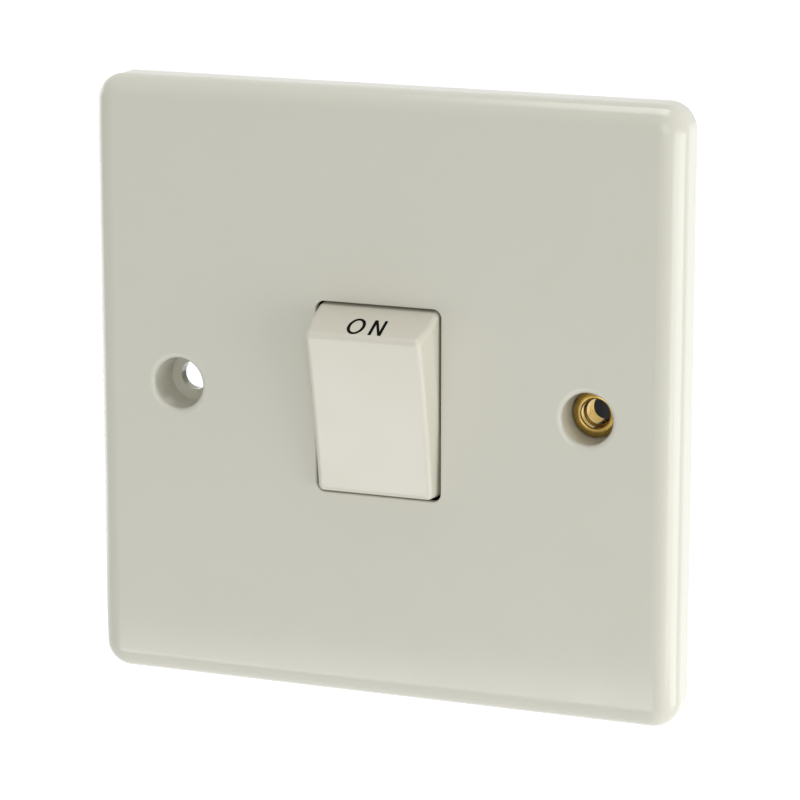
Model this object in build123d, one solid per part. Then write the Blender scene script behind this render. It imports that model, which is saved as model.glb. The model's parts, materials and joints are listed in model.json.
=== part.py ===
from build123d import *
import math
import os

os.makedirs("parts", exist_ok=True)

# A one-gang double pole rocker switch for a wall box.
# X runs to the right, Y into the wall and Z up. The plane y = 0 is the wall, and the origin
# lies midway between the two fixing holes. Sizes are millimetres.

# Front plate
plate_w = 86.0
plate_h = 86.0
plate_t = 6.6
plate_corner_r = 3.8
plate_edge_r = 3.3
plate_rim = 2.0
plate_face_t = 2.2
band_h = 10.5
band_drop = 0.45

# Aperture for the rocker
aperture_h = 27.0
aperture_r = 1.2
aperture_edge_r = 0.25
aperture_land = 1.0
aperture_relief = 0.6
aperture_side_gap = 0.33

# Fixing holes
hole_pitch = 60.3
hole_r = 2.05
counterbore_r = 3.65
counterbore_floor_r = 3.5
counterbore_edge_r = 0.75
pillar_wall = 1.2
screw_floor_t = 1.6
pillar_past_wall = 0.8
pillar_rib_t = 1.6

# Brass eyelet in the right-hand fixing hole
eyelet_wall = 0.5
eyelet_flange_r = 3.0
eyelet_flange_t = 0.8
eyelet_rounding = 0.3
eyelet_floor_t = 2.3
eyelet_tail_t = 0.6
eyelet_tail_reach = 0.8
eyelet_past_wall = 1.8
strap_ring_margin = 0.4
fit = 0.05
root = 0.2

# Rocker, in its neutral position about the pivot axis
pivot_depth = 3.3
rocker_throw = 23.0
ridge_z = 11.82
ridge_depth = 7.24
face_sag = 0.36
end_r = 13.42
shoulder_depth = 0.4
end_margin = 0.3
skirt_drop = 1.6
rocker_half_w = 8.86
rocker_draft = 8.0
draft_cut_h = 12.0
rocker_wall = 1.4
ridge_r = 0.9
rocker_side_r = 0.8
trunnion_r = 0.95
trunnion_reach = 1.8
rocker_rib_t = 1.6

# Plungers and their springs
pole_x = 5.2
sleeve_wall = 0.75
sleeve_reach = 3.6
sleeve_guide = 2.4
spring_room = 4.8
plunger_r = 1.45
plunger_tip_r = 1.2
plunger_reach = 8.5
plunger_taper_h = 0.9
spring_wire_r = 0.2
spring_turns = 4.5
running_gap = 0.2

# Contact arms
arm_depth = 11.1
arm_ratio = 0.8
arm_w = 5.0
arm_t = 0.6
arm_upper = 7.6
arm_lower = 3.2
cradle_gap = 0.12
knife_r = 0.5
knife_h = 5.4
contact_r = 1.5
contact_h = 0.8
contact_edge = 0.3
contact_shank_r = 0.8
contact_upset_h = 0.35
contact_upset_r = 1.2
contact_from_end = 1.9
contact_gap = 0.05

# Terminals
strip_t = 0.8
strip_w = 5.6
block_w = 7.0
block_l = 9.0
block_edge = 0.4
wire_r = 2.25
wire_y = 9.8
block_front_wall = 0.8
block_back_wall = 1.6
clamp_r = 1.7
clamp_gap = 0.1
clamp_travel = 3.0
clamp_head_r = 2.3
clamp_head_h = 1.6
clamp_slot_w = 0.7
clamp_slot_d = 0.8
clamp_point = 0.35
earth_x = 17.2
earth_block_w = 6.0
earth_strap_w = 4.5

# Rear housing
housing_w = 50.0
housing_h = 56.0
housing_back = 21.0
housing_corner_r = 2.0
housing_back_edge = 0.8
housing_wall = 1.2
barrier_t = 2.0
well_gap = 0.35
well_depth = 6.2
chamber_half_h = 12.2
core_floor = 2.0
wire_entry_gap = 0.35
wire_entry_flare = 0.6
block_gap = 0.2
clamp_well_gap = 0.3
ledge_margin = 0.3
label_w = 18.0
label_h = 24.0
label_depth = 3.0
prop_w = 3.0

# Housing screws and the plate bosses that take them
tie_x = 17.5
tie_z = 8.5
tie_boss_r = 2.5
tie_boss_back = 1.0
tie_screw_r = 1.2
tie_bite = 4.5
tie_pilot_room = 0.5
tie_seat_t = 2.0
tie_head_r = 2.6
tie_head_h = 1.6
tie_head_edge = 0.6
tie_cross_r = 1.4
tie_rib_t = 1.6
tie_pillar_wall = 1.3
tie_gap = 0.2

# Sizes that follow from the ones above
face_y = -plate_t
ceiling_y = face_y + plate_face_t
pivot_y = face_y + pivot_depth
hole_x = hole_pitch / 2
rest_angle = rocker_throw / 2
arm_rest_angle = -arm_ratio * rest_angle
arm_y = pivot_y + arm_depth
sleeve_r = plunger_r + running_gap
bearing_r = trunnion_r + running_gap / 2
pillar_r = counterbore_r + pillar_wall
strap_front = eyelet_past_wall - eyelet_tail_t - strip_t
eyelet_floor_y = strap_front - eyelet_floor_t
aperture_w = 2 * (rocker_half_w + aperture_side_gap)
well_half_w = rocker_half_w + well_gap
well_half_h = end_r + well_gap + end_margin
block_front = wire_y - wire_r - block_front_wall
block_back = wire_y + wire_r + block_back_wall


def cyl_y(radius, y0, y1, x=0.0, z=0.0):
    """A round bar along Y from y0 to y1."""
    disc = Plane((x, y0, z), x_dir=(1, 0, 0), z_dir=(0, 1, 0)) * Circle(radius)
    return extrude(disc, amount=y1 - y0)


def cone_y(radius0, radius1, y0, y1, x=0.0, z=0.0):
    """A round taper along Y from radius0 at y0 to radius1 at y1."""
    start = Plane((x, y0, z), x_dir=(1, 0, 0), z_dir=(0, 1, 0)) * Circle(radius0)
    end = Plane((x, y1, z), x_dir=(1, 0, 0), z_dir=(0, 1, 0)) * Circle(radius1)
    return loft([start, end])


def cyl_z(radius, z0, z1, x, y):
    """A round bar along Z from z0 to z1."""
    return extrude(Plane((x, y, z0)) * Circle(radius), amount=z1 - z0)


def cone_z(radius0, radius1, z0, z1, x, y):
    """A round taper along Z from radius0 at z0 to radius1 at z1."""
    start = Plane((x, y, z0)) * Circle(radius0)
    end = Plane((x, y, z1)) * Circle(radius1)
    return loft([start, end])


def cyl_x(radius, x0, x1, y=0.0, z=0.0):
    """A round bar along X from x0 to x1."""
    disc = Plane((x0, y, z), x_dir=(0, 1, 0), z_dir=(1, 0, 0)) * Circle(radius)
    return extrude(disc, amount=x1 - x0)


def block(x0, x1, y0, y1, z0, z1):
    """A box between two corners."""
    centre = ((x0 + x1) / 2, (y0 + y1) / 2, (z0 + z1) / 2)
    return Pos(*centre) * Box(abs(x1 - x0), abs(y1 - y0), abs(z1 - z0))


def rounded_block(width, height, radius, y0, y1):
    """A box along Y with rounded corners, centred on the Y axis."""
    face = Plane((0, y0, 0), x_dir=(1, 0, 0), z_dir=(0, 1, 0)) * RectangleRounded(width, height, radius)
    return extrude(face, amount=y1 - y0)


def side_profile(points, x0, x1):
    """A solid with a closed outline of (y, z) points, from x0 to x1."""
    outline = Polyline(*[(x0, y, z) for y, z in points], close=True)
    return extrude(make_face(outline), amount=x1 - x0, dir=(1, 0, 0))


def front_bands():
    """What is taken off the face above and below, where it falls back in a long arc."""
    z0 = plate_h / 2 - band_h
    z1 = plate_h / 2 + plate_edge_r
    drop = band_drop * ((z1 - z0) / band_h) ** 2
    bands = []
    for side in (1, -1):
        start = (-plate_w, face_y, side * z0)
        middle = (-plate_w, face_y + drop / 4, side * (z0 + z1) / 2)
        end = (-plate_w, face_y + drop, side * z1)
        front = (-plate_w, face_y - plate_edge_r, side * z1)
        back = (-plate_w, face_y - plate_edge_r, side * z0)
        edge = ThreePointArc(start, middle, end) + Polyline(end, front, back, start)
        bands.append(extrude(make_face(edge), amount=2 * plate_w, dir=(1, 0, 0)))
    return bands


def fixing_hole(x, floor_y, through_r):
    """The recess and hole for a fixing screw."""
    recess = cone_y(counterbore_r, counterbore_floor_r, face_y, floor_y, x)
    return recess + cyl_y(through_r, floor_y - fit, eyelet_past_wall + 1, x)


def front_plate():
    """The moulded plate: a shallow tray with the aperture, two screw pillars and four bosses."""
    body = rounded_block(plate_w, plate_h, plate_corner_r, face_y, 0)
    for band in front_bands():
        body -= band
    rim_limit = face_y + band_drop + fit
    front_edges = body.edges().filter_by(lambda e: e.bounding_box().max.Y < rim_limit)
    body = fillet(front_edges.filter_by(is_border), plate_edge_r)
    inner_w = plate_w - 2 * plate_rim
    inner_h = plate_h - 2 * plate_rim
    body -= rounded_block(inner_w, inner_h, plate_corner_r - plate_rim, ceiling_y, 1)
    for side in (-1, 1):
        pillar_back = pillar_past_wall if side < 0 else strap_front
        body += cyl_y(pillar_r, ceiling_y - fit, pillar_back, side * hole_x)
        rib_out = side * (plate_w / 2 - plate_rim / 2)
        rib_in = side * (hole_x + counterbore_r + pillar_wall / 2)
        rib_back = ceiling_y / 2
        half_t = pillar_rib_t / 2
        body += block(rib_in, rib_out, ceiling_y - fit, rib_back, -half_t, half_t)
        for end in (-1, 1):
            body += cyl_y(tie_boss_r, ceiling_y - fit, tie_boss_back, side * tie_x, end * tie_z)
            pilot_front = tie_boss_back - tie_bite - tie_pilot_room
            body -= cyl_y(tie_screw_r, pilot_front, tie_boss_back + 1, side * tie_x, end * tie_z)
    body -= fixing_hole(-hole_x, pillar_past_wall - screw_floor_t, hole_r)
    body -= fixing_hole(hole_x, eyelet_floor_y, hole_r + eyelet_wall + fit)
    for x, end in ((-pole_x, 1), (pole_x, 1), (-pole_x, -1), (pole_x, -1), (earth_x, -1)):
        body += terminal_prop(x, end)
    opening = rounded_block(aperture_w, aperture_h, aperture_r, face_y - 1, ceiling_y + 1)
    body -= opening
    relief_w = aperture_w + 2 * aperture_relief
    relief_h = aperture_h + 2 * aperture_relief
    relief_front = face_y + aperture_land
    body -= rounded_block(relief_w, relief_h, aperture_r + aperture_relief, relief_front, ceiling_y + 1)
    body = fillet(body.edges().filter_by(is_recess_mouth), counterbore_edge_r)
    return fillet(body.edges().filter_by(is_aperture_lip), aperture_edge_r)


def terminal_prop(x, end):
    """The square post under the face that keeps a terminal block at the back of its chamber."""
    mid = terminal_mid_z(end)
    half = prop_w / 2
    return block(x - half, x + half, ceiling_y - fit, block_front - fit, mid - half, mid + half)


def is_border(edge):
    """True for the edges round the face, and not for the band lines or the holes."""
    middle = edge.center()
    near_side = abs(middle.X) > plate_w / 2 - plate_corner_r
    near_end = abs(middle.Z) > plate_h / 2 - plate_corner_r
    return (near_side or near_end) and not is_band_line(edge)


def is_recess_mouth(edge):
    """True for the rims of the two screw recesses, on the face."""
    box = edge.bounding_box()
    flat = box.max.Y < face_y + fit
    beside = abs(abs(edge.center().X) - hole_x) < counterbore_r
    return flat and beside and abs(edge.center().Z) < counterbore_r


def is_band_line(edge):
    """True for the two lines across the face where the long arcs begin."""
    on_start = abs(abs(edge.center().Z) - (plate_h / 2 - band_h)) < 0.01
    return on_start and edge.length > plate_w / 2


def is_aperture_lip(edge):
    """True for the edges of the aperture on the face."""
    box = edge.bounding_box()
    flat = abs(box.min.Y - face_y) < 1e-3 and abs(box.max.Y - face_y) < 1e-3
    inside = abs(edge.center().X) < aperture_w / 2 + 0.1 and abs(edge.center().Z) < aperture_h / 2 + 0.1
    return flat and inside


def earth_eyelet():
    """The turned brass eyelet, rolled over at the front and riveted over the strap behind."""
    outer = hole_r + eyelet_wall
    front = eyelet_floor_y - eyelet_flange_t
    tail_front = strap_front + strip_t
    body = cyl_y(outer, eyelet_floor_y - fit, eyelet_past_wall, hole_x)
    body += cyl_y(outer + eyelet_tail_reach, tail_front, eyelet_past_wall, hole_x)
    body += cyl_y(eyelet_flange_r, front, eyelet_floor_y, hole_x)
    body -= cyl_y(hole_r, front - 1, eyelet_past_wall + 1, hole_x)
    rims = body.edges().filter_by(lambda e: e.bounding_box().max.Y < front + fit)
    return chamfer(rims, eyelet_rounding)


def earth_strap():
    """The flat brass strap from the eyelet to the earth terminal, folded back at its end."""
    back = strap_front + strip_t
    half_w = earth_strap_w / 2
    end_z = terminal_mid_z(-1)
    side_x = earth_x + earth_block_w / 2
    ring_r = hole_r + eyelet_wall + eyelet_tail_reach + strap_ring_margin
    ring = cyl_y(ring_r, strap_front, back, hole_x)
    down = block(hole_x - half_w, hole_x + half_w, strap_front, back, end_z - half_w, 0)
    across = block(side_x, hole_x + half_w, strap_front, back, end_z - half_w, end_z + half_w)
    leg_back = wire_y + wire_r
    leg = block(side_x, side_x + strip_t, strap_front, leg_back, end_z - half_w, end_z + half_w)
    hole = cyl_y(hole_r + eyelet_wall + fit, strap_front - 1, back + 1, hole_x)
    return ring + down + across + leg - hole


def rocker_outline():
    """The rocker's outline from the side, as (y, z) points from ridge to ridge."""
    skirt_z = math.sqrt(end_r**2 - skirt_drop**2)
    skirt = (skirt_drop, skirt_z)
    shoulder = (-shoulder_depth, math.sqrt(end_r**2 - shoulder_depth**2))
    return shoulder, skirt


def rocker_blank():
    """The rocker before it is hollowed: concave face, two end facets and drafted sides."""
    shoulder, skirt = rocker_outline()
    top = (0, -ridge_depth, ridge_z)
    low = (0, -ridge_depth, -ridge_z)
    face = ThreePointArc(low, (0, face_sag - ridge_depth, 0), top)
    edge = face + Polyline(
        top, (0, shoulder[0], shoulder[1]), (0, skirt[0], skirt[1]),
        (0, skirt[0], -skirt[1]), (0, shoulder[0], -shoulder[1]), low,
    )
    solid = extrude(make_face(edge), amount=2 * rocker_half_w, both=True, dir=(1, 0, 0))
    at_plate = -pivot_depth
    top_y = at_plate - draft_cut_h
    run = draft_cut_h * math.tan(math.radians(rocker_draft))
    for side in (-1, 1):
        foot_x = side * rocker_half_w
        top_x = side * (rocker_half_w - run)
        clear_x = 3 * foot_x
        back_y = 2 * skirt_drop
        wedge = Polyline(
            (foot_x, back_y, -2 * end_r), (foot_x, at_plate, -2 * end_r), (top_x, top_y, -2 * end_r),
            (clear_x, top_y, -2 * end_r), (clear_x, back_y, -2 * end_r), close=True,
        )
        solid -= extrude(make_face(wedge), amount=4 * end_r, dir=(0, 0, 1))
    ridges = solid.edges().filter_by(Axis.X).filter_by(lambda e: e.center().Y < 0.4 - ridge_depth)
    solid = fillet(ridges, ridge_r)
    return fillet(solid.edges().filter_by(is_rocker_side), rocker_side_r)


def is_rocker_side(edge):
    """True for the edges round the rocker's face and ends, where they meet its sides."""
    box = edge.bounding_box()
    across = box.max.X - box.min.X
    deep = box.max.Y - box.min.Y > 0.05
    return deep and across < 1.5 and abs(edge.center().X) > rocker_half_w - 2


def rocker():
    """The moulded rocker, hollow behind, with trunnions, a cross rib and two plunger sleeves."""
    body = rocker_blank()
    roof = -(ridge_depth - face_sag - rocker_wall)
    roof_z = ridge_z - rocker_wall
    foot_z = math.sqrt(end_r**2 - skirt_drop**2) - rocker_wall
    hollow = [(roof, roof_z), (skirt_drop + 1, foot_z), (skirt_drop + 1, -foot_z), (roof, -roof_z)]
    inner = rocker_half_w - rocker_wall
    cavity = side_profile(hollow, -inner, inner)
    body -= cavity
    sleeve_out = sleeve_r + sleeve_wall
    half_rib = rocker_rib_t / 2
    body += block(-inner - root, inner + root, roof - root, trunnion_r, -half_rib, half_rib)
    for side in (-1, 1):
        body += cyl_y(sleeve_out, roof - root, sleeve_reach, side * pole_x)
        tip = side * (rocker_half_w + trunnion_reach)
        body += cyl_x(trunnion_r, side * (inner - root), tip)
    for side in (-1, 1):
        body -= cyl_y(sleeve_r, spring_seat(), sleeve_reach + 1, side * pole_x)
    return body


def in_rocker(shape):
    """Place a shape drawn about the pivot in the rocker's resting position, pressed to on."""
    return Pos(0, pivot_y, 0) * Rot(rest_angle, 0, 0) * shape


def plunger_top():
    """How far behind the pivot the spring bears on the plunger."""
    return sleeve_reach - sleeve_guide


def spring_seat():
    """Where the spring bears on the closed end of its sleeve."""
    return plunger_top() - spring_room


def plunger(side):
    """A round plunger with a dome on its end, which slides in the rocker's sleeve."""
    x = side * pole_x
    shoulder = plunger_reach - plunger_taper_h
    body = cyl_y(plunger_r, plunger_top(), shoulder, x)
    body += cone_y(plunger_r, plunger_tip_r, shoulder, plunger_reach, x)
    body += Pos(x, plunger_reach, 0) * Sphere(plunger_tip_r)
    return body


def plunger_spring(side):
    """The compression spring between the sleeve's end and the plunger."""
    start = spring_seat() + spring_wire_r + fit
    length = plunger_top() - fit - spring_wire_r - start
    coil_r = plunger_r - spring_wire_r
    path = Helix(pitch=length / spring_turns, height=length, radius=coil_r)
    section = Plane(origin=path @ 0, z_dir=path % 0) * RegularPolygon(spring_wire_r, 6)
    coil = sweep(section, path=path)
    return Pos(side * pole_x, start, 0) * Rot(-90, 0, 0) * coil


def tip_in_arm(angle):
    """Where the plunger's tip lies in the arm's own frame, as (y, z), at a rocker angle."""
    turn = math.radians(angle)
    y = plunger_reach * math.cos(turn) - arm_depth
    z = plunger_reach * math.sin(turn)
    back = math.radians(arm_ratio * angle)
    return y * math.cos(back) - z * math.sin(back), y * math.sin(back) + z * math.cos(back)


def cradle():
    """Centre and radius of the arm's cradle, which the plunger's tip runs along."""
    mid_y, _ = tip_in_arm(0)
    end_y, end_z = tip_in_arm(rest_angle)
    sag = mid_y - end_y
    path_r = (end_z**2 + sag**2) / (2 * sag)
    centre = mid_y - path_r
    spread = math.atan2(end_z, end_y - centre)
    return centre, path_r + plunger_tip_r + cradle_gap, spread


def polar(centre, radius, angle):
    """A (y, z) point at an angle from the Y axis."""
    return centre + radius * math.cos(angle), radius * math.sin(angle)


def limb_start():
    """Where the upper limb leaves the cradle, on its front, in the arm's own frame."""
    centre, radius, spread = cradle()
    return polar(centre, radius, spread)


def limb_way():
    """The upper limb's direction: upright once the arm lies at its closed angle."""
    lean = math.radians(-arm_rest_angle)
    return -math.sin(lean), math.cos(lean)


def contact_arm(side):
    """The rocking strip: a cradle over the knife edge, a long upper limb and a short lower one."""
    centre, radius, spread = cradle()
    x0 = side * pole_x - arm_w / 2
    place = lambda p: (x0, p[0], p[1])
    inner = [place(polar(centre, radius, turn)) for turn in (-spread, 0, spread)]
    outer = [place(polar(centre, radius + arm_t, turn)) for turn in (spread, 0, -spread)]
    edge = ThreePointArc(*inner) + Line(inner[2], outer[0]) + ThreePointArc(*outer) + Line(outer[2], inner[0])
    arm = extrude(make_face(edge), amount=arm_w, dir=(1, 0, 0))
    arm += limb(x0, 1, arm_upper) + limb(x0, -1, arm_lower)
    return arm - in_limb(cyl_y(contact_shank_r, -1, 2, side * pole_x))


def limb(x0, end, length):
    """One straight limb of the strip, upwards for end 1 and downwards for end -1."""
    start = limb_start()
    way = limb_way()
    tip = (start[0] + way[0] * length, start[1] + way[1] * length)
    back = (way[1] * arm_t, -way[0] * arm_t)
    corners = [start, tip, (tip[0] + back[0], tip[1] + back[1]), (start[0] + back[0], start[1] + back[1])]
    return side_profile([(y, end * z) for y, z in corners], x0, x0 + arm_w)


def in_limb(shape):
    """Place a shape drawn about the contact's seat, front of the strip at y = 0, on the arm."""
    start = limb_start()
    way = limb_way()
    along = arm_upper - contact_from_end
    seat = (start[0] + way[0] * along, start[1] + way[1] * along)
    return Pos(0, seat[0], seat[1]) * Rot(-arm_rest_angle, 0, 0) * shape


def in_arm(shape):
    """Place a shape drawn about the arm's axis in its resting position."""
    return Pos(0, arm_y, 0) * Rot(arm_rest_angle, 0, 0) * shape


def moving_contact(side):
    """The silver rivet through the arm's upper limb."""
    x = side * pole_x
    rivet = cyl_y(contact_shank_r, 0, arm_t, x)
    rivet += cyl_y(contact_upset_r, -contact_upset_h, 0, x)
    head = cyl_y(contact_r, arm_t, arm_t + contact_h, x)
    rim = head.edges().filter_by(lambda e: e.center().Y > arm_t + contact_h - 0.01)
    return rivet + chamfer(rim, contact_edge)


def contact_place():
    """Where the closed contacts meet, as (y, z)."""
    start = limb_start()
    turn = math.radians(arm_rest_angle)
    y = start[0] * math.cos(turn) - start[1] * math.sin(turn)
    z = start[0] * math.sin(turn) + start[1] * math.cos(turn)
    return arm_y + y + arm_t + contact_h, z + arm_upper - contact_from_end


def load_strip_front():
    """The front face of the strip that carries the fixed contact."""
    return contact_place()[0] + contact_gap + contact_h


def fixed_contact(side):
    """The silver rivet on the load terminal's strip."""
    x = side * pole_x
    meet_y, z = contact_place()
    front = meet_y + contact_gap
    seat = load_strip_front()
    head = cyl_y(contact_r, front, seat, x, z)
    rim = head.edges().filter_by(lambda e: e.center().Y < front + 0.01)
    return chamfer(rim, contact_edge) + cyl_y(contact_shank_r, seat, seat + strip_t, x, z)


def terminal_inner():
    """How far from the middle the terminal blocks begin."""
    return well_half_h + housing_wall + block_gap + strip_t


def terminal_mid_z(end):
    """The middle of the terminal block at one end, 1 for the top and -1 for the bottom."""
    return end * (terminal_inner() + block_l / 2)


def load_strip(side):
    """The strip from the load terminal to the fixed contact, folded up against the block."""
    x = side * pole_x
    front = load_strip_front()
    _, contact_z = contact_place()
    start = contact_z - contact_r - ledge_margin
    end = terminal_inner()
    half_w = strip_w / 2
    strip = block(x - half_w, x + half_w, front, front + strip_t, start, end)
    strip += block(x - half_w, x + half_w, block_front, front + strip_t, end - strip_t, end)
    return strip - cyl_y(contact_shank_r, front - 1, front + 2, x, contact_z)


def fulcrum_strip_back():
    """The back face of the strip that carries the knife edge, on the chamber's floor."""
    return arm_y + knife_h


def fulcrum(side):
    """The strip from the supply terminal, turned up into the knife edge that the arm rocks on."""
    x = side * pole_x
    back = fulcrum_strip_back()
    end = -terminal_inner()
    half_w = strip_w / 2
    strip = block(x - half_w, x + half_w, back - strip_t, back, end, knife_r)
    strip += block(x - half_w, x + half_w, block_front, back, end, end + strip_t)
    strip += block(x - half_w, x + half_w, arm_y, back, -knife_r, knife_r)
    return strip + cyl_x(knife_r, x - half_w, x + half_w, arm_y)


def terminal(x, width, end):
    """A brass terminal block with its wire bore and the tapped hole for the clamp screw."""
    z0 = min(end * terminal_inner(), end * (terminal_inner() + block_l))
    body = block(x - width / 2, x + width / 2, block_front, block_back, z0, z0 + block_l)
    body = chamfer(body.edges().filter_by(Axis.Z), block_edge)
    body -= cyl_z(wire_r, z0 - 1, z0 + block_l + 1, x, wire_y)
    tapped = clamp_r + clamp_gap
    return body - cyl_y(tapped, wire_y, block_back + 1, x, z0 + block_l / 2)


def clamp_tip():
    """Where a backed-out clamp screw ends, just behind the wire bore."""
    return wire_y + wire_r + clamp_gap


def clamp_head():
    """The underside of a backed-out clamp screw's head."""
    return block_back + clamp_gap + clamp_travel


def clamp_screw(x, z):
    """A slotted cheese-head screw, backed out and ready for its wire."""
    body = cyl_y(clamp_r, clamp_tip(), clamp_head(), x, z)
    end = body.edges().filter_by(lambda e: e.center().Y < clamp_tip() + 0.01)
    body = chamfer(end, clamp_point)
    top = clamp_head() + clamp_head_h
    body += cyl_y(clamp_head_r, clamp_head(), top, x, z)
    half = clamp_slot_w / 2
    slot = block(x - half, x + half, top - clamp_slot_d, top + 1, z - clamp_head_r, z + clamp_head_r)
    return body - slot


def housing_screws():
    """The four self-tapping screws that hold the housing to the plate's bosses."""
    seat = tie_boss_back + fit + tie_seat_t
    screws = []
    for x in (-tie_x, tie_x):
        for z in (-tie_z, tie_z):
            screw = cyl_y(tie_screw_r, tie_boss_back - tie_bite, seat, x, z)
            head = cyl_y(tie_head_r, seat, seat + tie_head_h, x, z)
            rim = head.edges().filter_by(lambda e: e.center().Y > seat + tie_head_h - 0.01)
            head = chamfer(rim, tie_head_edge)
            top = seat + tie_head_h
            reach = tie_cross_r
            half = clamp_slot_w / 2
            cross = block(x - half, x + half, top - clamp_slot_d, top + 1, z - reach, z + reach)
            cross += block(x - reach, x + reach, top - clamp_slot_d, top + 1, z - half, z + half)
            screws.append(screw + head - cross)
    return Compound(children=screws)


def rear_housing():
    """The moulded housing: rocker well, two contact chambers, terminal chambers and screw wells."""
    body = rounded_block(housing_w, housing_h, housing_corner_r, ceiling_y, housing_back)
    rear = body.edges().filter_by(lambda e: e.center().Y > housing_back - 0.01)
    body = chamfer(rear, housing_back_edge)
    front = ceiling_y - 1
    well_floor = ceiling_y + well_depth
    body -= block(-well_half_w, well_half_w, front, well_floor, -well_half_h, well_half_h)
    body -= bearing_slots()
    for side in (-1, 1):
        body -= contact_chamber(side, well_floor)
        for end in (-1, 1):
            body -= terminal_chamber(side * pole_x, block_w, end)
            body -= strip_slot(side, end)
            body -= tie_well(side * tie_x, end * tie_z)
        body -= side_core(side)
        body -= corner_core(side, 1)
    body -= corner_core(-1, -1)
    body -= terminal_chamber(earth_x, earth_block_w, -1, strip_t + fit)
    body -= block(-label_w / 2, label_w / 2, housing_back - label_depth, housing_back + 1,
                  -label_h / 2, label_h / 2)
    return body - strap_room() - lug_room(-1) - lug_room(1)


def strap_room():
    """The slot in the side wall through which the earth strap comes in."""
    mid = terminal_mid_z(-1)
    half = earth_strap_w / 2 + block_gap
    back = strap_front + strip_t + fit
    across = block(earth_x, hole_x + half, ceiling_y - 1, back, mid - half, mid + half)
    return across + block(hole_x - half, hole_x + half, ceiling_y - 1, back, mid - half, 0)


def lug_room(side):
    """The room beside the housing for a screw pillar and the wall box's lug behind it."""
    return cyl_y(pillar_r + block_gap, ceiling_y - 1, housing_back + 1, side * hole_x)


def bearing_slots():
    """Open-fronted slots with round ends, in which the rocker's trunnions turn."""
    reach = rocker_half_w + trunnion_reach + running_gap
    slots = cyl_x(bearing_r, -reach, reach, pivot_y)
    return slots + block(-reach, reach, ceiling_y - 1, pivot_y, -bearing_r, bearing_r)


def contact_chamber(side, well_floor):
    """The room for one pole's arm, with a ledge behind the load strip."""
    inner = barrier_t / 2
    outer = well_half_w
    x0, x1 = sorted((side * inner, side * outer))
    _, contact_z = contact_place()
    ledge_z = contact_z - contact_r - ledge_margin
    room = block(x0, x1, well_floor - 1, fulcrum_strip_back(), -chamber_half_h, ledge_z)
    return room + block(x0, x1, well_floor - 1, load_strip_front() + strip_t, ledge_z - 1, chamber_half_h)


def terminal_chamber(x, width, end, side_room=0.0):
    """The room for a terminal block, its screw well at the back and its wire entry."""
    x0 = x - width / 2 - block_gap
    x1 = x + width / 2 + block_gap + side_room
    z0 = well_half_h + housing_wall
    z1 = terminal_inner() + block_l + block_gap
    room = block(x0, x1, ceiling_y - 1, block_back, end * z0, end * z1)
    well_r = clamp_head_r + clamp_well_gap
    room += cyl_y(well_r, block_back - 1, housing_back + 1, x, terminal_mid_z(end))
    entry_r = wire_r + wire_entry_gap
    lip = housing_h / 2 - wire_entry_flare
    room += cyl_z(entry_r, end * (z1 - 1), end * (housing_h / 2 + 1), x, wire_y)
    flare_r = entry_r + wire_entry_flare
    return room + cone_z(entry_r, flare_r, end * lip, end * housing_h / 2, x, wire_y)


def strip_slot(side, end):
    """The slot through the cross wall that a strip lies in."""
    x = side * pole_x
    half = strip_w / 2 + block_gap
    back = load_strip_front() + strip_t if end > 0 else fulcrum_strip_back()
    return block(x - half, x + half, ceiling_y + well_depth - 1, back, end * (chamber_half_h - 1),
                 end * (terminal_inner() - strip_t))


def tie_well(x, z):
    """The socket over a plate boss in front, and the deep hole for its screw behind."""
    socket_floor = tie_boss_back + fit
    seat = socket_floor + tie_seat_t
    well = cyl_y(tie_boss_r + tie_gap, ceiling_y - 1, socket_floor, x, z)
    well += cyl_y(tie_screw_r + tie_gap, socket_floor - 1, seat + 1, x, z)
    return well + cyl_y(tie_head_r + tie_gap, seat, housing_back + 1, x, z)


def side_core(side):
    """The cored-out room beside the contact chambers, round the two screw pillars."""
    x0 = rocker_half_w + trunnion_reach + running_gap + housing_wall
    x1 = housing_w / 2 - housing_wall
    half = well_half_h
    core = block(side * x0, side * x1, ceiling_y - 1, housing_back - core_floor, -half, half)
    pillar = tie_head_r + tie_gap + tie_pillar_wall
    for end in (-1, 1):
        core -= cyl_y(pillar, ceiling_y - 2, housing_back, side * tie_x, end * tie_z)
        rib_z = end * tie_z
        half_t = tie_rib_t / 2
        core -= block(side * tie_x, side * x1, ceiling_y - 2, housing_back, rib_z - half_t, rib_z + half_t)
    return core


def corner_core(side, end):
    """The cored-out room in a corner that holds no terminal."""
    x0 = pole_x + block_w / 2 + block_gap + housing_wall
    x1 = housing_w / 2 - housing_wall
    z0 = well_half_h + housing_wall
    z1 = housing_h / 2 - housing_wall
    return block(side * x0, side * x1, ceiling_y - 1, housing_back - core_floor, end * z0, end * z1)


def save(shape, node):
    """Write one node's solids."""
    export_step(shape, "parts/" + node + ".step")


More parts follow.
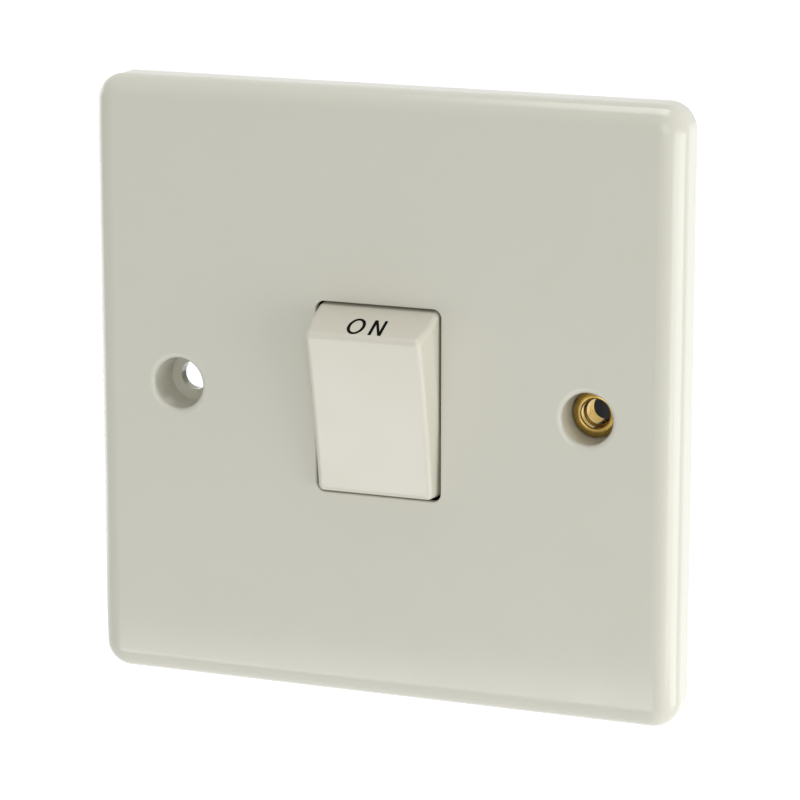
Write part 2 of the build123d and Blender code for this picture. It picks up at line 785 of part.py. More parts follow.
save(front_plate(), "front_plate")
save(in_rocker(rocker()), "rocker")
save(rear_housing(), "rear_housing")
save(housing_screws(), "housing_screws")
save(earth_eyelet(), "earth_eyelet")
save(earth_strap(), "earth_strap")
save(terminal(earth_x, earth_block_w, -1), "earth_terminal")
save(clamp_screw(earth_x, terminal_mid_z(-1)), "earth_clamp_screw")
for pole, side in (("live", -1), ("neutral", 1)):
    save(in_rocker(plunger(side)), "plunger_" + pole)
    save(in_rocker(plunger_spring(side)), "plunger_spring_" + pole)
    save(in_arm(contact_arm(side)), "contact_arm_" + pole)
    save(in_arm(in_limb(moving_contact(side))), "moving_contact_" + pole)
    save(fixed_contact(side), "fixed_contact_" + pole)
    save(load_strip(side), "load_strip_" + pole)
    save(fulcrum(side), "fulcrum_" + pole)
    save(terminal(side * pole_x, block_w, 1), "load_terminal_" + pole)
    save(terminal(side * pole_x, block_w, -1), "supply_terminal_" + pole)
    save(clamp_screw(side * pole_x, terminal_mid_z(1)), "load_clamp_screw_" + pole)
    save(clamp_screw(side * pole_x, terminal_mid_z(-1)), "supply_clamp_screw_" + pole)
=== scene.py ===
# %% [markdown]
# # A double pole switch on white
# A wall switch is a quiet object: pale moulded plastic, a rocker that stands a few millimetres
# proud, and a brass eyelet deep in one screw hole. Nearly all of its character is in the way soft
# light slides over rounded edges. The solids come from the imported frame, at their real size in
# metres. This script gives them their finishes, adds the lettering, the screw threads and the
# moulded markings, and lights them as in a white photographic tent.

import json
import math

import bpy
import bmesh
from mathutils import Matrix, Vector


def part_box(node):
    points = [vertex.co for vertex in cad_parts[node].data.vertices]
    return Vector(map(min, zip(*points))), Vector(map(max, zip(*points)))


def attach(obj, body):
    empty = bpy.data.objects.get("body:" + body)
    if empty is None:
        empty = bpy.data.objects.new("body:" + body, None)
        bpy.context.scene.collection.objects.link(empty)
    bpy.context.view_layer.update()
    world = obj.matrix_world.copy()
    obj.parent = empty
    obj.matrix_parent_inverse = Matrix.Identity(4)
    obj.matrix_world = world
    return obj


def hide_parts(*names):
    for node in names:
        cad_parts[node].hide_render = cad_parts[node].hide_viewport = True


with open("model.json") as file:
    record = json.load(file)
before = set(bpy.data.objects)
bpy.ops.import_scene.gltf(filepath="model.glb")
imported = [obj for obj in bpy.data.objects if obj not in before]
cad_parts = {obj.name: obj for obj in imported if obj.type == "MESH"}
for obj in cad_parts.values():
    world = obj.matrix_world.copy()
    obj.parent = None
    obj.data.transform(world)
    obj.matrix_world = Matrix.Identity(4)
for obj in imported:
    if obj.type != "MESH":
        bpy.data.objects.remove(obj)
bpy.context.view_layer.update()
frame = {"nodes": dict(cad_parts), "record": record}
nodes = frame["nodes"]
print("pieces in the frame:", len(nodes))

# %% [markdown]
# ## The camera
# A product photographer stands well back with a long lens, so that the square plate keeps nearly
# parallel edges. The camera's place is written as a point in the frame's own metres, and Blender
# turns it towards its target with a tracking quaternion. That is easier to check against a
# photograph than three angles.

# %% Place the camera
CAMERA_AT = Vector((0.18493, -0.47510, 0.11916))
CAMERA_AIM = Vector((0.00071, 0.0, -0.00117))
LENS_MM = 169.5

lens = bpy.data.cameras.new("long_lens")
lens.lens = LENS_MM
lens.sensor_width = 36.0
camera = bpy.data.objects.new("camera", lens)
camera.location = CAMERA_AT
camera.rotation_mode = "QUATERNION"
camera.rotation_quaternion = (CAMERA_AIM - CAMERA_AT).to_track_quat("-Z", "Y")
bpy.context.scene.collection.objects.link(camera)
bpy.context.scene.camera = camera
print("camera stands", round((CAMERA_AT - CAMERA_AIM).length, 3), "m away")

# %% [markdown]
# ## Shader helpers
# A material in Blender is a graph of nodes. Two tiny helpers keep that graph readable: one adds a
# node and sets its inputs by name, and one joins two sockets. Nothing here knows about the switch.

# %% Node helpers
def add(tree, kind, **values):
    """A new node, with its inputs set by name (spaces written as underscores)."""
    node = tree.nodes.new(kind)
    for name, value in values.items():
        node.inputs[name.replace("_", " ")].default_value = value
    return node


def join(tree, source, target):
    """A link from an output socket to an input socket."""
    tree.links.new(source, target)


def srgb(red, green, blue):
    """A colour picked on screen, 0 to 255, as the linear colour that a shader wants."""
    def linear(value):
        value = value / 255
        return value / 12.92 if value < 0.04045 else ((value + 0.055) / 1.055) ** 2.4
    return (linear(red), linear(green), linear(blue), 1.0)


print("mid grey becomes", round(srgb(128, 128, 128)[0], 3))

# %% [markdown]
# ## The moulded surface
# Moulded plastic looks flat, but never is: the colour drifts a little where the powder flowed and
# cured, the gloss changes with the polish of the mould, and the skin has a fine orange peel. All
# the plastics here share those three effects, so they are one node group with its own inputs. A
# noise texture in object coordinates drives each of them, at its own scale. Object coordinates
# stay with the piece when it moves, where world coordinates would let the pattern slide.

# %% Node group: moulded plastic
def new_group(name, inputs, outputs):
    """An empty node group with float or colour sockets."""
    group = bpy.data.node_groups.new(name, "ShaderNodeTree")
    for title, kind, value in inputs:
        socket = group.interface.new_socket(title, in_out="INPUT", socket_type=kind)
        socket.default_value = value
    for title, kind in outputs:
        group.interface.new_socket(title, in_out="OUTPUT", socket_type=kind)
    start = group.nodes.new("NodeGroupInput")
    end = group.nodes.new("NodeGroupOutput")
    return group, start.outputs, end.inputs


FLOAT = "NodeSocketFloat"
COLOUR = "NodeSocketColor"
moulded, given, made = new_group(
    "moulded_surface",
    [
        ("Light Tint", COLOUR, (0.8, 0.8, 0.8, 1)),
        ("Deep Tint", COLOUR, (0.7, 0.7, 0.7, 1)),
        ("Flow Scale", FLOAT, 60.0),
        ("Peel Scale", FLOAT, 2600.0),
        ("Gloss From", FLOAT, 0.25),
        ("Gloss To", FLOAT, 0.35),
    ],
    [("Tint", COLOUR), ("Roughness", FLOAT), ("Peel", FLOAT)],
)
place = moulded.nodes.new("ShaderNodeTexCoord").outputs["Object"]

flow = add(moulded, "ShaderNodeTexNoise", Detail=3.0, Roughness=0.55, Distortion=0.8)
join(moulded, place, flow.inputs["Vector"])
join(moulded, given["Flow Scale"], flow.inputs["Scale"])
tint = moulded.nodes.new("ShaderNodeMix")
tint.data_type = "RGBA"
join(moulded, flow.outputs["Fac"], tint.inputs["Factor"])
join(moulded, given["Deep Tint"], tint.inputs[6])
join(moulded, given["Light Tint"], tint.inputs[7])
join(moulded, tint.outputs[2], made["Tint"])

polish = add(moulded, "ShaderNodeTexNoise", Scale=180.0, Detail=2.0)
join(moulded, place, polish.inputs["Vector"])
gloss = add(moulded, "ShaderNodeMapRange", From_Min=0.3, From_Max=0.7)
join(moulded, polish.outputs["Fac"], gloss.inputs["Value"])
join(moulded, given["Gloss From"], gloss.inputs["To Min"])
join(moulded, given["Gloss To"], gloss.inputs["To Max"])
join(moulded, gloss.outputs["Result"], made["Roughness"])

peel = add(moulded, "ShaderNodeTexNoise", Detail=1.0, Roughness=0.4)
join(moulded, place, peel.inputs["Vector"])
join(moulded, given["Peel Scale"], peel.inputs["Scale"])
join(moulded, peel.outputs["Fac"], made["Peel"])
print("group", moulded.name, "has", len(moulded.nodes), "nodes")

# %% [markdown]
# ## The worked metal surface
# The brass, copper and steel in a switch are drawn, turned or rolled, and each leaves fine lines
# and a patchy shine. One group serves them all. A noise texture squeezed along one axis gives the
# lines, and a second, broad one gives the tarnish. The stretch is an input, so that turned parts
# and rolled strip can have lines in different directions.

# %% Node group: worked metal
worked, given, made = new_group(
    "worked_metal",
    [
        ("Clean", COLOUR, (0.8, 0.6, 0.3, 1)),
        ("Dulled", COLOUR, (0.6, 0.4, 0.2, 1)),
        ("Stretch", "NodeSocketVector", (1.0, 1.0, 1.0)),
        ("Shine From", FLOAT, 0.2),
        ("Shine To", FLOAT, 0.4),
    ],
    [("Tint", COLOUR), ("Roughness", FLOAT), ("Lines", FLOAT)],
)
place = worked.nodes.new("ShaderNodeTexCoord").outputs["Object"]
squeeze = worked.nodes.new("ShaderNodeMapping")
join(worked, place, squeeze.inputs["Vector"])
join(worked, given["Stretch"], squeeze.inputs["Scale"])
lines = add(worked, "ShaderNodeTexNoise", Scale=900.0, Detail=4.0, Roughness=0.6)
join(worked, squeeze.outputs["Vector"], lines.inputs["Vector"])
join(worked, lines.outputs["Fac"], made["Lines"])

tarnish = add(worked, "ShaderNodeTexNoise", Scale=320.0, Detail=3.0, Roughness=0.6)
join(worked, place, tarnish.inputs["Vector"])
patchy = add(worked, "ShaderNodeMapRange", From_Min=0.35, From_Max=0.75)
join(worked, tarnish.outputs["Fac"], patchy.inputs["Value"])
tint = worked.nodes.new("ShaderNodeMix")
tint.data_type = "RGBA"
join(worked, patchy.outputs["Result"], tint.inputs["Factor"])
join(worked, given["Clean"], tint.inputs[6])
join(worked, given["Dulled"], tint.inputs[7])
join(worked, tint.outputs[2], made["Tint"])
shine = add(worked, "ShaderNodeMapRange", From_Min=0.3, From_Max=0.7)
join(worked, lines.outputs["Fac"], shine.inputs["Value"])
join(worked, given["Shine From"], shine.inputs["To Min"])
join(worked, given["Shine To"], shine.inputs["To Max"])
join(worked, shine.outputs["Result"], made["Roughness"])
print("group", worked.name, "has", len(worked.nodes), "nodes")

# %% [markdown]
# ## The plastics
# The plate and the rocker are urea moulding powder, a hard, pale, slightly warm plastic with a soft
# gloss. The housing behind is moulded in matt black, and the plungers are brown nylon. Each is one
# Principled shader fed by the moulded group. What doesn't change over the surface, such as the
# index of refraction, is set on the shader itself.

# %% Make the plastics
PLASTIC_IOR = 1.5


def start_material(name):
    """A material with its Principled shader and output."""
    material = bpy.data.materials.new(name)
    material.use_nodes = True
    tree = material.node_tree
    tree.nodes.clear()
    shader = tree.nodes.new("ShaderNodeBsdfPrincipled")
    out = tree.nodes.new("ShaderNodeOutputMaterial")
    join(tree, shader.outputs["BSDF"], out.inputs["Surface"])
    return material, tree, shader


def plastic(name, light, deep, gloss_from, gloss_to, peel_depth, flow_scale=60.0, shine=0.5):
    """A moulded plastic between two close tints; shine is its share of mirrored light."""
    material, tree, shader = start_material(name)
    surface = tree.nodes.new("ShaderNodeGroup")
    surface.node_tree = moulded
    surface.inputs["Light Tint"].default_value = light
    surface.inputs["Deep Tint"].default_value = deep
    surface.inputs["Flow Scale"].default_value = flow_scale
    surface.inputs["Gloss From"].default_value = gloss_from
    surface.inputs["Gloss To"].default_value = gloss_to
    join(tree, surface.outputs["Tint"], shader.inputs["Base Color"])
    join(tree, surface.outputs["Roughness"], shader.inputs["Roughness"])
    bump = add(tree, "ShaderNodeBump", Distance=peel_depth, Strength=0.5)
    join(tree, surface.outputs["Peel"], bump.inputs["Height"])
    join(tree, bump.outputs["Normal"], shader.inputs["Normal"])
    shader.inputs["IOR"].default_value = PLASTIC_IOR
    shader.inputs["Specular IOR Level"].default_value = shine
    return material


PLATE_LIGHT = srgb(210, 209, 196)
PLATE_DEEP = srgb(207, 206, 192)
ROCKER_LIGHT = srgb(216, 213, 199)
ROCKER_DEEP = srgb(213, 209, 195)
HOUSING_LIGHT = srgb(19, 19, 20)
HOUSING_DEEP = srgb(14, 14, 15)
NYLON_LIGHT = srgb(96, 76, 58)
NYLON_DEEP = srgb(80, 62, 46)
INK_LIGHT = srgb(9, 9, 9)
INK_DEEP = srgb(5, 5, 5)

FINE_PEEL = 0.000004
COARSE_PEEL = 0.00003
NYLON_PEEL = 0.00002
INK_PEEL = 0.000001

plate_plastic = plastic(
    "plate_plastic", PLATE_LIGHT, PLATE_DEEP,
    gloss_from=0.16, gloss_to=0.22, peel_depth=FINE_PEEL,
)
rocker_plastic = plastic(
    "rocker_plastic", ROCKER_LIGHT, ROCKER_DEEP,
    gloss_from=0.18, gloss_to=0.24, peel_depth=FINE_PEEL,
)
housing_plastic = plastic(
    "housing_plastic", HOUSING_LIGHT, HOUSING_DEEP,
    gloss_from=0.55, gloss_to=0.7, peel_depth=COARSE_PEEL, flow_scale=90.0, shine=0.02,
)
plunger_nylon = plastic(
    "plunger_nylon", NYLON_LIGHT, NYLON_DEEP,
    gloss_from=0.35, gloss_to=0.5, peel_depth=NYLON_PEEL, flow_scale=300.0,
)
ink = plastic(
    "printing_ink", INK_LIGHT, INK_DEEP,
    gloss_from=0.5, gloss_to=0.6, peel_depth=INK_PEEL, flow_scale=900.0, shine=0.05,
)
print("plastics:", plate_plastic.name, rocker_plastic.name, housing_plastic.name, plunger_nylon.name)

# %% [markdown]
# ## The metals
# Terminals, eyelet and strap are brass. The current-carrying strips are a redder bronze, the
# contacts are silver, and the screws are zinc-plated steel. They share the worked metal group, with
# colours for the clean and the dulled metal, and the lines run along the way the part was made.

# %% Make the metals
ALONG_Y = (1.0, 0.08, 1.0)
ALONG_Z = (1.0, 1.0, 0.08)
ROUND_TURNED = (0.25, 1.0, 0.25)
LINE_DEPTH = 0.000004


def metal(name, clean, dulled, stretch, shine_from, shine_to, line_depth=LINE_DEPTH):
    """A worked metal between its clean and its dulled colour."""
    material, tree, shader = start_material(name)
    surface = tree.nodes.new("ShaderNodeGroup")
    surface.node_tree = worked
    surface.inputs["Clean"].default_value = clean
    surface.inputs["Dulled"].default_value = dulled
    surface.inputs["Stretch"].default_value = stretch
    surface.inputs["Shine From"].default_value = shine_from
    surface.inputs["Shine To"].default_value = shine_to
    join(tree, surface.outputs["Tint"], shader.inputs["Base Color"])
    join(tree, surface.outputs["Roughness"], shader.inputs["Roughness"])
    bump = add(tree, "ShaderNodeBump", Distance=line_depth, Strength=0.6)
    join(tree, surface.outputs["Lines"], bump.inputs["Height"])
    join(tree, bump.outputs["Normal"], shader.inputs["Normal"])
    shader.inputs["Metallic"].default_value = 1.0
    return material


brass = metal("turned_brass", srgb(204, 172, 98), srgb(138, 112, 56), ROUND_TURNED, 0.16, 0.32)
bronze = metal("rolled_bronze", srgb(222, 160, 118), srgb(190, 124, 86), ALONG_Z, 0.25, 0.42)
silver = metal("contact_silver", srgb(238, 236, 228), srgb(206, 204, 196), ROUND_TURNED, 0.18, 0.34)
zinc = metal("zinc_plate", srgb(214, 216, 214), srgb(186, 188, 184), ROUND_TURNED, 0.25, 0.42)
wire_steel = metal("spring_wire", srgb(190, 192, 196), srgb(160, 162, 168), ALONG_Y, 0.2, 0.35)
print("metals:", brass.name, bronze.name, silver.name, zinc.name, wire_steel.name)

# %% [markdown]
# ## Finishes on the pieces
# Every solid of the frame keeps its shape, and gets its finish in its own material slot. The
# record already says which slot each node takes its finish from, so a dictionary from slot to
# material is all that is needed.

# %% Assign the finishes
FINISH = {
    "plate": plate_plastic,
    "rocker": rocker_plastic,
    "housing": housing_plastic,
    "plunger": plunger_nylon,
    "brass": brass,
    "copper": bronze,
    "silver": silver,
    "steel": zinc,
    "spring": wire_steel,
}
slot_of = {part["node"]: part["material_slot"] for part in frame["record"]["subparts"]}
for name, piece in nodes.items():
    piece.data.materials.clear()
    piece.data.materials.append(FINISH[slot_of[name]])
print("finished", len(nodes), "pieces in", len(FINISH), "materials")

# %% [markdown]
# ## Turning a mesh into a piece
# Every piece that is added below starts as a bmesh, Blender's editable mesh in memory. The last
# steps are always the same: smooth faces with sharp edges kept where two faces meet at a clear
# angle, a finish, and a body to ride on. One function does them all.

# %% Settle a piece on its body
MM = 0.001


def settle(sheet, name, material, body, sharp_over=35):
    """Make a bmesh a smooth piece with a finish, riding on its body."""
    bmesh.ops.recalc_face_normals(sheet, faces=sheet.faces)
    for face in sheet.faces:
        face.smooth = True
    for edge in sheet.edges:
        if len(edge.link_faces) == 2:
            edge.smooth = edge.calc_face_angle() < math.radians(sharp_over)
    mesh = bpy.data.meshes.new(name)
    sheet.to_mesh(mesh)
    sheet.free()
    mesh.materials.append(material)
    piece = bpy.data.objects.new(name, mesh)
    bpy.context.scene.collection.objects.link(piece)
    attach(piece, body)
    return piece


print("one millimetre is", MM, "of Blender's units")

# %% [markdown]
# ## The lettering on the rocker
# The word ON is printed in black on the small facet above the ridge, and leans back with it. Type
# from a font would carry that font's own proportions, so the two letters are drawn as the thin,
# even strokes they are: an oval ring and a folded bar. Each is a film a few hundredths of a
# millimetre thick, laid on the facet. The facet's slope follows from where the ridge and the
# shoulder lie at rest. A round letter looks smaller than a straight one of its height, so the O
# goes a little past the N above and below.

# %% Print ON
RIDGE = Vector((0, -0.012751, 0.010139))
SHOULDER = Vector((0, -0.006366, 0.013065))
UP_FACET = (SHOULDER - RIDGE).normalized()
OFF_FACET = Vector((1, 0, 0)).cross(UP_FACET)
STROKE = 0.45
CAP_HEIGHT = 3.42
BASE_LINE = 0.86
O_CENTRE_X = -1.61
O_HALF_W = 1.26
O_OVERSHOOT = 0.08
N_LEFT = 0.59
N_WIDTH = 1.88
N_NOTCH = 1.0
FILM_LOW = -0.01
FILM_HIGH = 0.015


def on_facet(across, up, lift):
    """A point on the facet, in millimetres from the middle of the ridge."""
    return RIDGE + MM * (Vector((across, 0, 0)) + up * UP_FACET + lift * OFF_FACET)


def oval(centre_x, centre_up, half_w, half_h, steps=72):
    """Points round an oval."""
    turns = [math.tau * step / steps for step in range(steps)]
    return [(centre_x + half_w * math.cos(t), centre_up + half_h * math.sin(t)) for t in turns]


def stamp(sheet, place, low, high, outline, hole=()):
    """A flat raised shape between two levels; a hole has as many points as the outline."""
    def ring(path, level):
        return [sheet.verts.new(place(across, up, level)) for across, up in path]

    walls = [(ring(path, low), ring(path, high)) for path in (outline, hole)]
    for bottom, top in walls:
        for a in range(len(bottom)):
            b = (a + 1) % len(bottom)
            sheet.faces.new((bottom[a], bottom[b], top[b], top[a]))
    for outer, inner in zip(*walls):
        if not inner:
            sheet.faces.new(outer)
        for a in range(len(inner)):
            b = (a + 1) % len(inner)
            sheet.faces.new((outer[a], outer[b], inner[b], inner[a]))


letters = bmesh.new()
o_up = BASE_LINE + CAP_HEIGHT / 2
o_half_h = CAP_HEIGHT / 2 + O_OVERSHOOT
stamp(
    letters, on_facet, FILM_LOW, FILM_HIGH,
    oval(O_CENTRE_X, o_up, O_HALF_W, o_half_h),
    oval(O_CENTRE_X, o_up, O_HALF_W - STROKE, o_half_h - STROKE),
)
foot, head = BASE_LINE, BASE_LINE + CAP_HEIGHT
n_right = N_LEFT + N_WIDTH
stamp(letters, on_facet, FILM_LOW, FILM_HIGH, [
    (N_LEFT, foot), (N_LEFT + STROKE, foot), (N_LEFT + STROKE, head - N_NOTCH),
    (n_right - STROKE, foot), (n_right, foot), (n_right, head), (n_right - STROKE, head),
    (n_right - STROKE, foot + N_NOTCH), (N_LEFT + STROKE, head), (N_LEFT, head),
])
settle(letters, "lettering", ink, "rocker")
print("ON stands", CAP_HEIGHT, "mm high")

# %% [markdown]
# ## The rolled eyelet
# The brass eyelet in the right-hand hole is a turned tube. Its front is rolled over into a round
# flange with a flared throat. Inside, the bore steps down to a narrower one with a thin lip at its
# far end, and the tail is riveted over the strap.
# All of that is one section spun about the hole's axis, so the piece is a list of section points:
# arcs where the brass bends, and single points where it runs straight.

# %% Spin the eyelet
BORE_R = 2.05
LIP_R = 1.8
TUBE_R = 2.55
TAIL_R = 3.35
EYELET_FRONT = -2.75
FLANGE_BACK = -1.92
TAIL_FRONT = 1.22
EYELET_END = 1.8
THROAT_R = 0.33
STEP_DEPTH = -1.2
ROLL_W = 1.0
ROLL_H = 0.5
TAIL_BEND = 0.3
LIP_TURN = 0.1
LIP_WALL = 0.25
LIP_SLOPE_END = 0.4
STEP_RUN = 0.25


def arc(centre_r, centre_depth, half_w, half_h, start, end, steps=10):
    """Section points along an oval arc; 0 degrees points away from the axis, 90 into the wall."""
    turns = [math.radians(start + (end - start) * step / steps) for step in range(steps + 1)]
    return [(centre_r + half_w * math.cos(t), centre_depth + half_h * math.sin(t)) for t in turns]


def spin(section, centre, steps=96):
    """A closed section of (radius, depth) points in millimetres, turned about an axis along Y."""
    sheet = bmesh.new()
    rings = []
    for step in range(steps):
        turn = math.tau * step / steps
        out = Vector((math.cos(turn), 0, math.sin(turn)))
        ring = [centre + MM * (radius * out + Vector((0, depth, 0))) for radius, depth in section]
        rings.append([sheet.verts.new(point) for point in ring])
    for near, far in zip(rings, rings[1:] + rings[:1]):
        for a in range(len(section)):
            b = (a + 1) % len(section)
            sheet.faces.new((near[a], near[b], far[b], far[a]))
    return sheet


low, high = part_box("earth_eyelet")
hole_centre = Vector(((low.x + high.x) / 2, 0, (low.z + high.z) / 2))
crest_r = BORE_R + THROAT_R
rim_h = FLANGE_BACK - EYELET_FRONT - ROLL_H
section = [(LIP_R - LIP_TURN, EYELET_END), (LIP_R - LIP_TURN, EYELET_END - LIP_WALL)]
section += [(LIP_R, EYELET_END - LIP_SLOPE_END), (LIP_R, STEP_DEPTH + STEP_RUN), (BORE_R, STEP_DEPTH)]
section += arc(crest_r, EYELET_FRONT + THROAT_R, THROAT_R, THROAT_R, 180, 270)
section += arc(crest_r, EYELET_FRONT + ROLL_H, ROLL_W, ROLL_H, 275, 360)
section += arc(crest_r + ROLL_W - rim_h, FLANGE_BACK - rim_h, rim_h, rim_h, 20, 90, 4)
section += [(TUBE_R, FLANGE_BACK), (TUBE_R, TAIL_FRONT)]
section += arc(TAIL_R - TAIL_BEND, TAIL_FRONT + TAIL_BEND, TAIL_BEND, TAIL_BEND, -90, 0, 4)
section += arc(TAIL_R - TAIL_BEND, EYELET_END - TAIL_BEND, TAIL_BEND, TAIL_BEND, 5, 90, 5)
eyelet = settle(spin(section, hole_centre), "rolled_eyelet", brass, "housing", 40)
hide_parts("earth_eyelet")
print("eyelet section has", len(section), "points")

# %% [markdown]
# ## Screw threads
# The clamp screws stand backed out, so a length of thread stands between each block and its head.
# The slotted head of the frame's own solid is right, and only the plain shank has to go: a copy of
# the mesh is cut below the head with a bisecting plane, and a new shank is grown on as a stack of
# rings. A ring's radius follows a triangle wave of height plus turn, which is what a thread is.

# %% Cut the threads
PITCH = 0.7
THREAD_R = 1.7
THREAD_DEPTH = 0.36
HEAD_H = 1.6
NECK = 0.35
POINT = 0.35
RINGS_PER_TURN = 10
RING_STEPS = 36
SAME_PLANE = 1e-7


def thread_radius(above_tip, turn):
    """The shank's radius in millimetres at a height above the tip and a turn from 0 to 1."""
    wave = abs(2 * ((above_tip / PITCH - turn) % 1) - 1)
    radius = THREAD_R - THREAD_DEPTH * wave
    return min(radius, THREAD_R - POINT + above_tip)


def threaded(node, body):
    """A clamp screw with its plain shank swapped for a threaded one."""
    low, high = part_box(node)
    axis = Vector(((low.x + high.x) / 2, 0, (low.z + high.z) / 2))
    neck_y = high.y - MM * (HEAD_H + NECK)
    sheet = bmesh.new()
    sheet.from_mesh(nodes[node].data)
    everything = sheet.verts[:] + sheet.edges[:] + sheet.faces[:]
    bmesh.ops.bisect_plane(
        sheet, geom=everything, dist=SAME_PLANE,
        plane_co=(0, neck_y, 0), plane_no=(0, 1, 0), clear_inner=True,
    )
    length = (neck_y - low.y) / MM
    count = round(length / PITCH * RINGS_PER_TURN)
    rings = []
    for row in range(count + 1):
        above = length * row / count
        ring = []
        for step in range(RING_STEPS):
            turn = step / RING_STEPS
            radius = THREAD_R if row == count else thread_radius(above, turn)
            out = Vector((math.cos(math.tau * turn), 0, math.sin(math.tau * turn)))
            ring.append(sheet.verts.new(axis + MM * radius * out + Vector((0, low.y + MM * above, 0))))
        rings.append(ring)
    for near, far in zip(rings, rings[1:]):
        for a in range(RING_STEPS):
            b = (a + 1) % RING_STEPS
            sheet.faces.new((near[a], near[b], far[b], far[a]))
    sheet.faces.new(rings[0])
    piece = settle(sheet, node + "_threaded", zinc, body)
    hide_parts(node)
    return piece


clamp_screws = sorted(name for name in nodes if "clamp_screw" in name)
threads = [threaded(name, name) for name in clamp_screws]
print("threaded", len(threads), "screws at", PITCH, "mm pitch")

# %% [markdown]
# ## The markings on the back
# An electrician needs to know which terminal is which, so the housing has plain moulded letters:
# L and N by their terminals, LOAD at the top, SUPPLY at the bottom, and the earth sign by the earth
# terminal. Blender's text objects are enough here. They stand out of the floor of the recessed
# panel by a quarter of a millimetre, and face the back. The earth sign is one upright bar and three
# level ones, stamped on the back above its screw.

# %% Mould the markings
PANEL_FLOOR = 0.018
HOUSING_BACK = 0.021
POLE_X = 0.0052
RELIEF = 0.25 * MM
EM_PER_CAP = 1.35
WORDS = [
    ("LOAD", 0, 9.2, 2.4), ("L", -POLE_X / MM, 5.0, 3.0), ("N", POLE_X / MM, 5.0, 3.0),
    ("SUPPLY", 0, -9.2, 2.4), ("L", -POLE_X / MM, -5.0, 3.0), ("N", POLE_X / MM, -5.0, 3.0),
]


def mould_word(name, words, across, up, height):
    """Raised letters that face the back, centred at a place on the panel in millimetres."""
    curve = bpy.data.curves.new(name, "FONT")
    curve.body = words
    curve.size = MM * height * EM_PER_CAP
    curve.extrude = RELIEF
    curve.resolution_u = 4
    curve.align_x = "CENTER"
    curve.align_y = "CENTER"
    curve.materials.append(housing_plastic)
    piece = bpy.data.objects.new(name, curve)
    piece.location = (MM * across, PANEL_FLOOR, MM * up)
    piece.rotation_euler = (math.pi / 2, 0, math.pi)
    bpy.context.scene.collection.objects.link(piece)
    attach(piece, "housing")
    return piece


marks = [mould_word("marking_%d" % i, *row) for i, row in enumerate(WORDS)]


def on_back(across, up, lift):
    """A point on the housing's back near the earth terminal, in millimetres."""
    low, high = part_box("earth_clamp_screw")
    return Vector(((low.x + high.x) / 2 + MM * across, HOUSING_BACK + MM * lift, MM * up))


BAR_LOW = -0.2
BAR_HIGH = 0.2
EARTH_BARS = [(-12.4, 0.3, 1.0), (-13.6, 1.7, 0.22), (-14.3, 1.1, 0.22), (-15.0, 0.5, 0.22)]
earth_sign = bmesh.new()
for up, half_w, half_h in EARTH_BARS:
    corners = [(-half_w, up - half_h), (half_w, up - half_h)]
    corners += [(half_w, up + half_h), (-half_w, up + half_h)]
    stamp(earth_sign, on_back, BAR_LOW, BAR_HIGH, corners)
settle(earth_sign, "earth_sign", housing_plastic, "housing")
print("moulded", len(marks) + 1, "markings")

# %% [markdown]
# ## The light
# White objects are shot in a tent: light from everywhere, a little stronger from some sides, so
# that the edges still model. Here the world gives the even part. The stronger soft boxes stand on
# the right and above, the weaker ones in front, on the left and behind, and a narrow strip low in
# front lifts the bottom lip. The camera, and mirrors and glass, see the world and the floor as
# plain white, which is asked of the Light Path node.

# %% Build the world and the lamps
FILL = 0.46


def seen_directly(tree):
    """1 for camera, glossy and transmission rays, and 0 for the rest."""
    path = tree.nodes.new("ShaderNodeLightPath")
    total = path.outputs["Is Camera Ray"]
    for kind in ("Is Glossy Ray", "Is Transmission Ray"):
        either = tree.nodes.new("ShaderNodeMath")
        either.operation = "MAXIMUM"
        join(tree, total, either.inputs[0])
        join(tree, path.outputs[kind], either.inputs[1])
        total = either.outputs[0]
    return total


world = bpy.data.worlds.new("white_tent")
bpy.context.scene.world = world
world.use_nodes = True
tree = world.node_tree
tree.nodes.clear()
fill = add(tree, "ShaderNodeBackground", Color=(1, 1, 1, 1), Strength=FILL)
white = add(tree, "ShaderNodeBackground", Color=(1, 1, 1, 1), Strength=1.0)
choice = tree.nodes.new("ShaderNodeMixShader")
join(tree, seen_directly(tree), choice.inputs["Fac"])
join(tree, fill.outputs[0], choice.inputs[1])
join(tree, white.outputs[0], choice.inputs[2])
join(tree, choice.outputs[0], tree.nodes.new("ShaderNodeOutputWorld").inputs["Surface"])


def soft_box(name, place, size, power):
    """A flat area lamp that faces the switch."""
    lamp = bpy.data.lights.new(name, "AREA")
    lamp.shape = "RECTANGLE"
    lamp.size = size[0]
    lamp.size_y = size[1]
    lamp.energy = power
    holder = bpy.data.objects.new(name, lamp)
    holder.location = place
    holder.rotation_mode = "QUATERNION"
    holder.rotation_quaternion = (-Vector(place)).to_track_quat("-Z", "Y")
    bpy.context.scene.collection.objects.link(holder)
    return holder


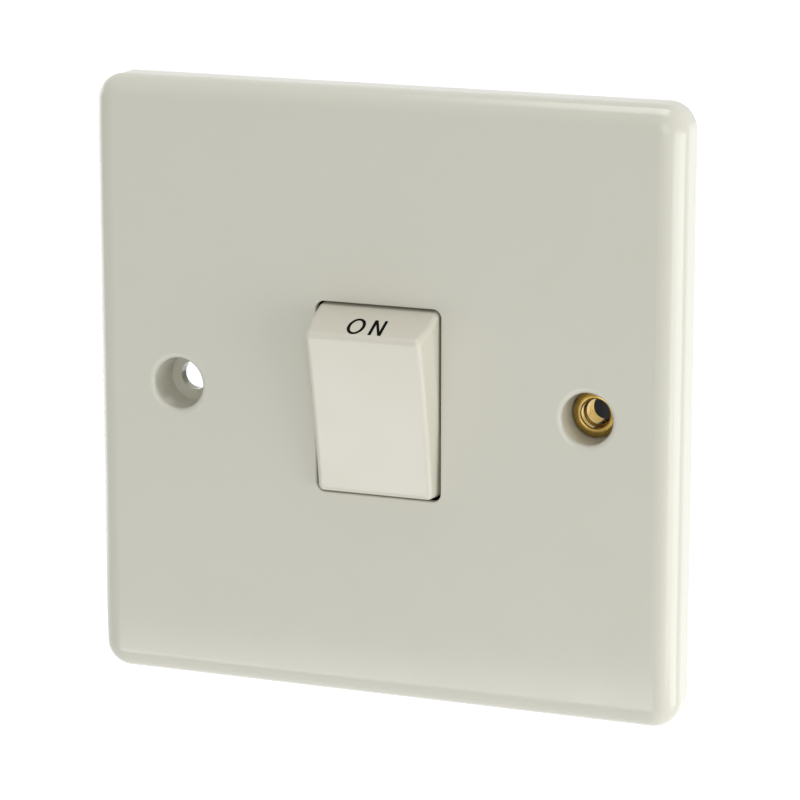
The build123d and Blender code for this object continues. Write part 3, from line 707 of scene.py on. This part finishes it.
SQUARE = (0.45, 0.45)
WIDE_SQUARE = (0.50, 0.50)
STRIP = (0.34, 0.10)
BOXES = [
    ("front_box", (0.25, -0.80, 0.25), SQUARE, 1.3),
    ("key_box", (0.55, -0.42, -0.38), SQUARE, 0.4),
    ("right_front_box", (0.75, -0.25, -0.08), SQUARE, 1.75),
    ("side_box", (0.78, 0.14, -0.18), SQUARE, 2.1),
    ("back_right_box", (0.34, 0.77, -0.19), WIDE_SQUARE, 0.4),
    ("back_left_box", (-0.45, 0.75, -0.15), WIDE_SQUARE, 0.7),
    ("left_box", (-0.70, 0.25, 0.0), SQUARE, 1.0),
    ("top_box", (0.0, 0.03, 0.75), SQUARE, 2.35),
    ("low_strip", (-0.15, -0.38, -0.25), STRIP, 0.31),
]
lamps = [soft_box(*row) for row in BOXES]
print("lamps:", [lamp.name for lamp in lamps])

# %% [markdown]
# ## The floor
# The photograph shows no wall, only white. A pale floor lies well below the switch, so its soft
# shadow falls out of the picture and the light that the floor throws back reaches the lower edge.
# A little emission for directly seen rays lifts it to paper white without lighting the switch.

# %% Lay the floor
FLOOR_DROP = 0.42
FLOOR_HALF = 8.0
FLOOR_LIFT = 0.70

sheet = bmesh.new()
corners = [(-1, -1), (1, -1), (1, 1), (-1, 1)]
sheet.faces.new([sheet.verts.new((x * FLOOR_HALF, y * FLOOR_HALF, -FLOOR_DROP)) for x, y in corners])
mesh = bpy.data.meshes.new("floor")
sheet.to_mesh(mesh)
sheet.free()
floor = bpy.data.objects.new("floor", mesh)
bpy.context.scene.collection.objects.link(floor)

paper = bpy.data.materials.new("floor_paper")
paper.use_nodes = True
tree = paper.node_tree
tree.nodes.clear()
matt = add(tree, "ShaderNodeBsdfDiffuse", Color=(0.8, 0.8, 0.8, 1), Roughness=0.5)
lift = add(tree, "ShaderNodeEmission", Color=(1, 1, 1, 1))
amount = tree.nodes.new("ShaderNodeMath")
amount.operation = "MULTIPLY"
amount.inputs[1].default_value = FLOOR_LIFT
join(tree, seen_directly(tree), amount.inputs[0])
join(tree, amount.outputs[0], lift.inputs["Strength"])
both = tree.nodes.new("ShaderNodeAddShader")
join(tree, matt.outputs[0], both.inputs[0])
join(tree, lift.outputs[0], both.inputs[1])
join(tree, both.outputs[0], tree.nodes.new("ShaderNodeOutputMaterial").inputs["Surface"])
mesh.materials.append(paper)
print("floor lies", FLOOR_DROP, "m below the switch")

# %% Keep the colours plain and finish
bpy.context.scene.view_settings.view_transform = "Standard"
